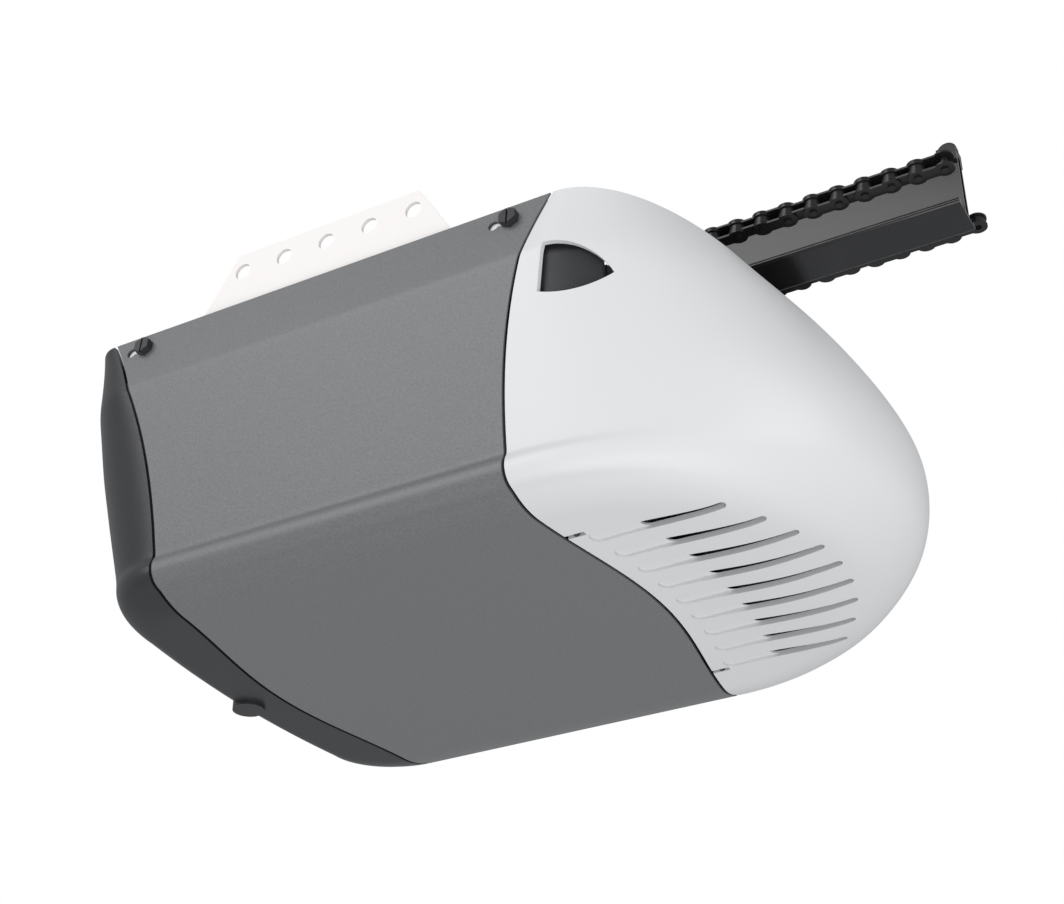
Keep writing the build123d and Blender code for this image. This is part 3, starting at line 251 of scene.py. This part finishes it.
def outward(obj):
    """Turn every face of a closed shell outwards."""
    work = bmesh.new()
    work.from_mesh(obj.data)
    bmesh.ops.remove_doubles(work, verts=work.verts, dist=1e-6)
    bmesh.ops.recalc_face_normals(work, faces=work.faces)
    work.to_mesh(obj.data)
    work.free()


def prism(outline, axis, low, high):
    """A closed prism: an outline in the plane across an axis, carried from low to high along it."""
    outline = np.asarray(outline, float)
    count = len(outline)
    ends = []
    for level in (low, high):
        ends.append(np.insert(outline, axis, level, axis=1))
    index = np.arange(count)
    after = np.roll(index, -1)
    sides = [list(quad) for quad in np.stack([index, after, after + count, index + count], -1).tolist()]
    faces = sides + [index[::-1].tolist(), (index + count).tolist()]
    mesh = bpy.data.meshes.new("cutter")
    mesh.from_pydata(np.concatenate(ends).tolist(), [], faces)
    cutter = bpy.data.objects.new("cutter", mesh)
    bpy.context.scene.collection.objects.link(cutter)
    outward(cutter)
    return cutter


def cut(obj, cutters):
    """Take each cutter out of the object for good, then remove the cutter."""
    for cutter in cutters:
        step = obj.modifiers.new("cut", "BOOLEAN")
        step.operation = "DIFFERENCE"
        step.solver = "EXACT"
        step.object = cutter
        ready = obj.evaluated_get(bpy.context.evaluated_depsgraph_get())
        mesh = bpy.data.meshes.new_from_object(ready)
        obj.modifiers.clear()
        obj.data = mesh
        bpy.data.objects.remove(cutter)


def soften(obj, degrees):
    """Smooth shading, except across edges sharper than an angle."""
    obj.data.shade_smooth()
    obj.data.set_sharp_from_angle(angle=math.radians(degrees))


# ---------------------------------------------------------------- the end shells
NOSE_REACH = (0.177, 0.201, 0.2175, 0.229, 0.225, 0.217, 0.205, 0.198, 0.193)
TAIL_REACH = (0.146, 0.147, 0.146, 0.1415, 0.136, 0.134, 0.131, 0.1285, 0.1256)


def end_rows(h, reach, inset, ease, rows):
    """Rows down an end's wall and a little way into its floor: (half width, reach, height)."""
    p = section_points(h, inset)
    heights = [p[0][1]] + [p[1][1] + (p[2][1] - p[1][1]) * k / 3 for k in range(4)] + [z for _, z in p[3:]]
    line = section_line(h, inset)
    upright = np.linspace(0.0, 1.0, 9)[1:-1, None]
    line = np.concatenate([line[:2], line[1] + (line[2] - line[1]) * upright, line[2:]])
    out = np.interp(-line[:, 1], -np.array(heights), reach)
    path = [(w, r - inset, z) for (w, z), r in zip(line, out)]
    w, out, z = path[-1]
    path.append((w - 0.012, out - 0.015, z))
    even = rounded(path, ease)
    keep = np.unique(np.linspace(0, len(even) - 1, rows).astype(int))
    return even[keep]


def end_grid(h, reach, inset, crisp, soft, fade, bow_form, rows=110, floor_rows=10):
    """An end shell as a grid: ovals that start on the cover's edge, from the top edge down the wall,
    then drawn in across the flat underside until they lie on the cover's bell-shaped edge.
    Near the cover the creases are crisp; towards the middle they fade into the softer form."""
    hard = end_rows(h, reach, inset, crisp, rows)
    mild = end_rows(h, reach, inset, soft, rows)
    size = min(len(hard), len(mild))
    hard, mild = hard[:size], mild[:size]
    last = hard[-1]
    target = bell_half(h, 0.0) + h.seam
    shares = np.linspace(0.0, 1.0, floor_rows + 1)[1:]
    inwards = np.stack([last[0] + (0.060 - last[0]) * shares, last[1] + (target - last[1]) * shares,
                        np.full(floor_rows, last[2])], 1)
    hard = np.concatenate([hard, inwards])
    mild = np.concatenate([mild, inwards])
    on_floor = np.concatenate([np.zeros(size), shares])[:, None]
    on_floor = eased(on_floor, 0.0, 0.8)

    flat_share, bow = bow_form
    turn = np.linspace(-1.0, 1.0, h.columns)
    if flat_share > 0:
        corner = 0.45
        across = np.clip(np.abs(turn) / corner, 0.0, 1.0)
        angle = np.clip((np.abs(turn) - corner) / (1 - corner), 0.0, 1.0) * np.pi / 2
        side = np.sign(turn) * (flat_share * across + (1 - flat_share) * np.sin(angle))
        out = np.cos(angle)
        bulge = bow * (1.0 - across ** 2)
    else:
        side = np.sin(turn * np.pi / 2)
        out = np.cos(turn * np.pi / 2)
        bulge = np.zeros_like(turn)
    share = np.clip(-hard[:, 2:3] / h.height, 0.0, 1.0)
    merge = eased(out[None, :], fade[0], fade[1] + fade[2] * share)
    w = hard[:, :1] * (1 - merge) + mild[:, :1] * merge
    reach_here = hard[:, 1:2] * (1 - merge) + mild[:, 1:2] * merge
    z = hard[:, 2:3] * (1 - merge) + mild[:, 2:3] * merge
    y = w * side[None, :]
    wall_base = np.maximum(edge_half(h, z), bell_half(h, w)) + h.seam
    floor_base = bell_half(h, y) + h.seam
    base = wall_base * (1 - on_floor) + floor_base * on_floor
    middle = wall_base * (1 - on_floor) + (bell_half(h, 0.0) + h.seam) * on_floor
    bulge = bulge[None, :] * (1 - on_floor)
    bow_here = bow * (1 - on_floor)
    x = base + (reach_here - bow_here - middle) * out[None, :] + bulge
    return np.stack([x, y, z], -1)


def end_shell(h, reach, crisp, soft, fade, bow_form):
    """Outer and inner grids of a moulded end."""
    outer = end_grid(h, reach, 0.0, crisp, soft, fade, bow_form)
    inner = end_grid(h, reach, h.wall, crisp + 0.002, soft, fade, bow_form)
    return outer, inner


def lens_crown(grid):
    """The lens's underside swells downwards: a hump along X that fades at the sides and up the wall."""
    x, y, z = grid[..., 0], grid[..., 1], grid[..., 2]
    hump = eased(x, 0.115, 0.162) * (1.0 - eased(x, 0.165, 0.202))
    across = np.clip(1.0 - (y / 0.105) ** 2, 0.0, 1.0)
    low = eased(-z, 0.122, 0.134)
    grid[..., 2] = z - 0.0024 * hump * across * low
    return grid


def taper_outline(rear, tip, wide, narrow, y):
    """A long outline with a round end of one radius at the rear and a smaller one at the tip."""
    turn = np.linspace(np.pi / 2, 3 * np.pi / 2, 13)
    back = np.stack([rear + wide + wide * np.cos(turn), y + wide * np.sin(turn)], 1)
    turn = np.linspace(-np.pi / 2, np.pi / 2, 9)
    front = np.stack([tip - narrow + narrow * np.cos(turn), y + narrow * np.sin(turn)], 1)
    return np.concatenate([back, front])


def window_outline(v, grow):
    """The D-shaped finger window from the side: a straight rear edge, and two arcs to the front."""
    low = -v.window_low
    x = v.window_x
    top = np.array([x + 0.14 * v.window_l - grow, low + v.window_h + grow])
    rear = np.array([x - grow, low - grow])
    tip = np.array([x + v.window_l + grow, low + 0.2 * v.window_h])
    over = np.array([x + 0.66 * v.window_l, low + 0.78 * v.window_h + grow])
    under = np.array([x + 0.62 * v.window_l, low - 0.001 - grow])

    upper = arc(top, over, tip, 18)
    lower = arc(tip, under, rear, 18)
    return np.concatenate([upper, lower[1:]])


# ---------------------------------------------------------------- materials
def socket(node, name, value):
    """Set a shader socket if this version has it."""
    if name in node.inputs:
        node.inputs[name].default_value = value


def plain_finish(name, base, roughness, metallic=0.0, coat=0.0, grain=0.0, grain_scale=400.0, mottle=0.0):
    """A finish from one shader, with an optional fine grain in the bump and a slight mottle in the colour,
    both noises on Object coordinates."""
    mat = bpy.data.materials.new(name)
    mat.use_nodes = True
    nodes, links = mat.node_tree.nodes, mat.node_tree.links
    shader = nodes["Principled BSDF"]
    shader.inputs["Base Color"].default_value = (*base, 1.0)
    shader.inputs["Roughness"].default_value = roughness
    shader.inputs["Metallic"].default_value = metallic
    socket(shader, "Coat Weight", coat)
    socket(shader, "Coat Roughness", 0.08)
    if grain or mottle:
        place = nodes.new("ShaderNodeTexCoord")
        noise = nodes.new("ShaderNodeTexNoise")
        noise.inputs["Scale"].default_value = grain_scale
        noise.inputs["Detail"].default_value = 3.0
        links.new(place.outputs["Object"], noise.inputs["Vector"])
    if grain:
        bump = nodes.new("ShaderNodeBump")
        bump.inputs["Strength"].default_value = grain
        bump.inputs["Distance"].default_value = 0.0002
        links.new(noise.outputs["Fac"], bump.inputs["Height"])
        links.new(bump.outputs["Normal"], shader.inputs["Normal"])
    if mottle:
        ramp = nodes.new("ShaderNodeValToRGB")
        ramp.color_ramp.elements[0].position = 0.3
        ramp.color_ramp.elements[0].color = (*[c * (1 - mottle) for c in base], 1.0)
        ramp.color_ramp.elements[1].position = 0.7
        ramp.color_ramp.elements[1].color = (*[min(c * (1 + mottle), 1.0) for c in base], 1.0)
        links.new(noise.outputs["Fac"], ramp.inputs["Fac"])
        links.new(ramp.outputs["Color"], shader.inputs["Base Color"])
    return mat


def dress(obj, mat):
    """Give an object one material."""
    obj.data.materials.clear()
    obj.data.materials.append(mat)


def finish_list(f):
    """Every slot's finish: colour, roughness, metal, coat, grain, grain scale and mottle."""
    return {
        "cover_paint": (f.cover, 0.42, 0.0, 0.0, 0.55, 900.0, 0.10),
        "lens_white": (f.lens, 0.42, 0.0, 0.0, 0.0, 400.0, 0.0),
        "cap_plastic": (f.cap, 0.36, 0.0, 0.0, 0.25, 1200.0, 0.06),
        "zinc_sheet": (f.zinc, 0.38, 1.0, 0.0, 0.0, 60.0, 0.10),
        "hanger_zinc": (f.hanger, 0.45, 0.0, 0.0, 0.0, 400.0, 0.0),
        "dark_screw": ((0.05, 0.05, 0.052), 0.30, 0.6, 0.0, 0.0, 400.0, 0.0),
        "bright_steel": ((0.55, 0.55, 0.54), 0.30, 1.0, 0.0, 0.0, 400.0, 0.0),
        "rail_black": (f.rail, 0.22, 0.0, 0.2, 0.0, 400.0, 0.0),
        "chain_black": (f.chain, 0.30, 0.5, 0.2, 0.0, 400.0, 0.0),
        "black_plastic": ((0.016, 0.016, 0.017), 0.40, 0.0, 0.0, 0.2, 900.0, 0.0),
        "bronze": ((0.50, 0.33, 0.16), 0.45, 1.0, 0.0, 0.0, 400.0, 0.0),
        "cast_alloy": ((0.52, 0.52, 0.53), 0.50, 1.0, 0.0, 0.3, 500.0, 0.0),
        "gear_nylon": ((0.72, 0.68, 0.56), 0.45, 0.0, 0.0, 0.0, 400.0, 0.0),
        "lamination": ((0.16, 0.16, 0.17), 0.45, 0.8, 0.0, 0.0, 400.0, 0.0),
        "copper_wire": ((0.42, 0.14, 0.05), 0.35, 0.6, 0.2, 0.0, 400.0, 0.0),
        "can_alloy": ((0.66, 0.66, 0.67), 0.25, 1.0, 0.0, 0.0, 400.0, 0.0),
        "board_green": ((0.012, 0.11, 0.045), 0.35, 0.0, 0.2, 0.0, 400.0, 0.0),
        "terminal_grey": ((0.30, 0.31, 0.32), 0.45, 0.0, 0.0, 0.0, 400.0, 0.0),
        "lamp_lens": ((0.75, 0.22, 0.03), 0.15, 0.0, 0.3, 0.0, 400.0, 0.0),
        "button_amber": ((0.65, 0.36, 0.02), 0.25, 0.0, 0.1, 0.0, 400.0, 0.0),
        "button_black": ((0.02, 0.02, 0.021), 0.40, 0.0, 0.0, 0.0, 400.0, 0.0),
        "socket_white": ((0.72, 0.71, 0.67), 0.40, 0.0, 0.0, 0.0, 400.0, 0.0),
        "bulb_white": ((0.86, 0.86, 0.84), 0.35, 0.0, 0.1, 0.0, 400.0, 0.0),
    }


# ---------------------------------------------------------------- operators
class OPENER_OT_cover(bpy.types.Operator):
    """Build the wrap-round sheet cover"""

    bl_idname = "opener.cover"
    bl_label = "Cover"

    def execute(self, context):
        h = context.scene.opener_housing

        def grid(inset):
            """The section carried along X, each point as far as the side edge or the bell lets it."""
            p = section_line(h, inset)
            whole = np.concatenate([p * (1, 1), (p * (-1, 1))[::-1]])
            line = rounded(whole, 0.0016)
            line = line[np.unique(np.linspace(0, len(line) - 1, COVER_ROWS).astype(int))]
            y, z = line[:, :1], line[:, 1:]
            half = np.maximum(edge_half(h, z), np.where(z < -h.height / 2, bell_half(h, y), 0.0))
            x = half * np.linspace(-1.0, 1.0, COVER_COLUMNS)[None, :]
            return np.stack([x, np.broadcast_to(y, x.shape), np.broadcast_to(z, x.shape)], -1)

        verts, faces = thick_sheet(grid(0.0), grid(h.sheet))
        obj = new_object("cover_sheet", verts, faces, "frame")
        outward(obj)
        cutters = []
        for side in (1, -1):
            y0, y1 = sorted((side * 0.1, side * 0.15))
            for x in (-SCREW_X, SCREW_X):
                turn = np.linspace(0, 2 * np.pi, 17)[:-1]
                back = x - HOLE_BACK
                ring = np.stack([back + HOLE_R * np.cos(turn), HOLE_Z + HOLE_R * np.sin(turn)], 1)
                cutters.append(prism(ring, 1, y0, y1))
                slot = [(back, SLOT_LOW), (x, SLOT_LOW), (x, SLOT_HIGH), (back, SLOT_HIGH)]
                cutters.append(prism(slot, 1, y0, y1))
        cut(obj, cutters)
        soften(obj, 40)
        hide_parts("wrap_cover")
        return {"FINISHED"}


class OPENER_OT_rear_cap(bpy.types.Operator):
    """Build the dark rear cap"""

    bl_idname = "opener.rear_cap"
    bl_label = "Rear cap"

    def execute(self, context):
        h = context.scene.opener_housing
        outer, inner = end_shell(h, TAIL_REACH, 0.003, 0.008, (0.05, 0.5, 0.4), (0.72, 0.005))
        verts, faces = thick_sheet(outer, inner)
        verts[:, 0] *= -1
        obj = new_object("rear_cap_shell", verts, faces, "frame")
        outward(obj)
        soften(obj, 40)
        return {"FINISHED"}


class OPENER_OT_lens(bpy.types.Operator):
    """Build the white light lens with its vents, finger windows and hinge slits"""

    bl_idname = "opener.lens"
    bl_label = "Light lens"

    def execute(self, context):
        h = context.scene.opener_housing
        v = context.scene.opener_vents
        outer, inner = end_shell(h, NOSE_REACH, 0.0035, 0.022, (0.08, 0.45, 0.45), (0.0, 0.0))
        verts, faces = thick_sheet(lens_crown(outer), lens_crown(inner))
        obj = new_object("lens_shell", verts, faces, "lens")
        outward(obj)
        floor = -h.height
        cutters = []
        for k in range(v.count):
            y = (k - (v.count - 1) / 2) * v.pitch
            share = (2 * y / (v.pitch * (v.count - 1))) ** 2
            rear = v.rear - v.rear_bow * share
            tip = v.tip - v.tip_bow * share
            groove = taper_outline(rear, tip, v.wide, v.narrow, y)
            cutters.append(prism(groove, 2, floor - 0.009, floor + v.depth))
            along = v.blind / (tip - rear)
            mid = v.wide + (v.narrow - v.wide) * along
            through = taper_outline(rear + v.blind, tip, mid, v.narrow, y)
            cutters.append(prism(through, 2, floor - 0.010, floor + 0.012))
        for side in (1, -1):
            y0, y1 = sorted((side * 0.09, side * 0.15))
            cutters.append(prism(window_outline(v, 0.0), 1, y0, y1))
            left, right = side * SLIT_Y - SLIT_HALF, side * SLIT_Y + SLIT_HALF
            slit = [(SLIT_REAR, left), (SLIT_FRONT, left), (SLIT_FRONT, right), (SLIT_REAR, right)]
            cutters.append(prism(slit, 2, floor - 0.006, floor + 0.008))
        cut(obj, cutters)
        soften(obj, 40)
        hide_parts("light_lens")
        return {"FINISHED"}


class OPENER_OT_finishes(bpy.types.Operator):
    """Give every piece its finish"""

    bl_idname = "opener.finishes"
    bl_label = "Finishes"

    def execute(self, context):
        made = {}
        for slot_name, facts in finish_list(context.scene.opener_finishes).items():
            base, *surface = facts
            made[slot_name] = plain_finish(slot_name, tuple(base), *surface)
        for part in FRAME["record"]["subparts"]:
            node = FRAME["nodes"][part["node"]]
            dress(node, made[part["material_slot"]])
        for name, slot_name in (("cover_sheet", "cover_paint"), ("rear_cap_shell", "cap_plastic"),
                                ("lens_shell", "lens_white")):
            obj = bpy.data.objects.get(name)
            if obj is not None:
                dress(obj, made[slot_name])
        return {"FINISHED"}


class OPENER_OT_stage(bpy.types.Operator):
    """Set the floor, the soft studio light and the camera"""

    bl_idname = "opener.stage"
    bl_label = "Stage"

    def execute(self, context):
        scene = context.scene
        scene.view_settings.view_transform = "Standard"
        mesh = bpy.data.meshes.new("studio_floor")
        corners = [(-FLOOR_HALF, -FLOOR_HALF), (FLOOR_HALF, -FLOOR_HALF),
                   (FLOOR_HALF, FLOOR_HALF), (-FLOOR_HALF, FLOOR_HALF)]
        mesh.from_pydata([(x, y, FLOOR_Z) for x, y in corners], [], [(0, 1, 2, 3)])
        floor = bpy.data.objects.new("studio_floor", mesh)
        scene.collection.objects.link(floor)
        dress(floor, plain_finish("floor_pale", (0.85, 0.85, 0.85), 0.8))

        world = bpy.data.worlds.new("studio_air")
        world.use_nodes = True
        nodes, links = world.node_tree.nodes, world.node_tree.links
        nodes.clear()
        out = nodes.new("ShaderNodeOutputWorld")
        lit = nodes.new("ShaderNodeBackground")
        lit.inputs["Color"].default_value = (0.95, 0.97, 1.0, 1.0)
        lit.inputs["Strength"].default_value = 0.42
        seen = nodes.new("ShaderNodeBackground")
        seen.inputs["Color"].default_value = (1.0, 1.0, 1.0, 1.0)
        seen.inputs["Strength"].default_value = 1.0
        ray = nodes.new("ShaderNodeLightPath")
        mix = nodes.new("ShaderNodeMixShader")
        links.new(ray.outputs["Is Camera Ray"], mix.inputs["Fac"])
        links.new(lit.outputs["Background"], mix.inputs[1])
        links.new(seen.outputs["Background"], mix.inputs[2])
        links.new(mix.outputs["Shader"], out.inputs["Surface"])
        scene.world = world

        target = Vector((0.03, 0.0, -0.06))
        for name, place, size, power in (
            ("key_light", (-0.55, -1.45, 0.65), 1.2, 14.0),
            ("under_light", (0.45, -0.7, -1.55), 1.6, 18.0),
            ("front_light", (1.7, -0.5, 0.1), 1.0, 10.0),
        ):
            lamp = bpy.data.lights.new(name, "AREA")
            lamp.size = size
            lamp.energy = power
            obj = bpy.data.objects.new(name, lamp)
            obj.location = place
            obj.rotation_euler = (target - Vector(place)).to_track_quat("-Z", "Y").to_euler()
            scene.collection.objects.link(obj)

        lens = bpy.data.cameras.new("camera")
        lens.lens = 62.9
        lens.sensor_width = 36.0
        lens.clip_start = 0.01
        camera = bpy.data.objects.new("camera", lens)
        camera.location = (0.4124, -0.6803, -0.5208)
        yaw, pitch = math.radians(28.86), math.radians(32.01)
        camera.rotation_euler = (math.pi / 2 + pitch, 0.0, yaw)
        scene.collection.objects.link(camera)
        scene.camera = camera
        return {"FINISHED"}


class OPENER_PT_panel(bpy.types.Panel):
    """Lists the steps that build the opener"""

    bl_label = "Door opener"
    bl_idname = "OPENER_PT_panel"
    bl_space_type = "VIEW_3D"
    bl_region_type = "UI"
    bl_category = "Door opener"

    def draw(self, context):
        for step in STEPS:
            self.layout.operator(step.bl_idname)
        for name in ("opener_housing", "opener_vents", "opener_finishes"):
            group = getattr(context.scene, name)
            box = self.layout.box()
            for key in group.__annotations__:
                box.prop(group, key)


STEPS = (OPENER_OT_cover, OPENER_OT_rear_cap, OPENER_OT_lens, OPENER_OT_finishes, OPENER_OT_stage)
CLASSES = (HousingSizes, VentSizes, Finishes, *STEPS, OPENER_PT_panel)


def register():
    for cls in CLASSES:
        bpy.utils.register_class(cls)
    bpy.types.Scene.opener_housing = PointerProperty(type=HousingSizes)
    bpy.types.Scene.opener_vents = PointerProperty(type=VentSizes)
    bpy.types.Scene.opener_finishes = PointerProperty(type=Finishes)


def unregister():
    for name in ("opener_housing", "opener_vents", "opener_finishes"):
        delattr(bpy.types.Scene, name)
    for cls in reversed(CLASSES):
        bpy.utils.unregister_class(cls)


def main():
    """Build every piece in order."""
    register()
    bpy.ops.opener.cover()
    bpy.ops.opener.rear_cap()
    bpy.ops.opener.lens()
    bpy.ops.opener.finishes()
    bpy.ops.opener.stage()


if __name__ == "__main__":
    main()
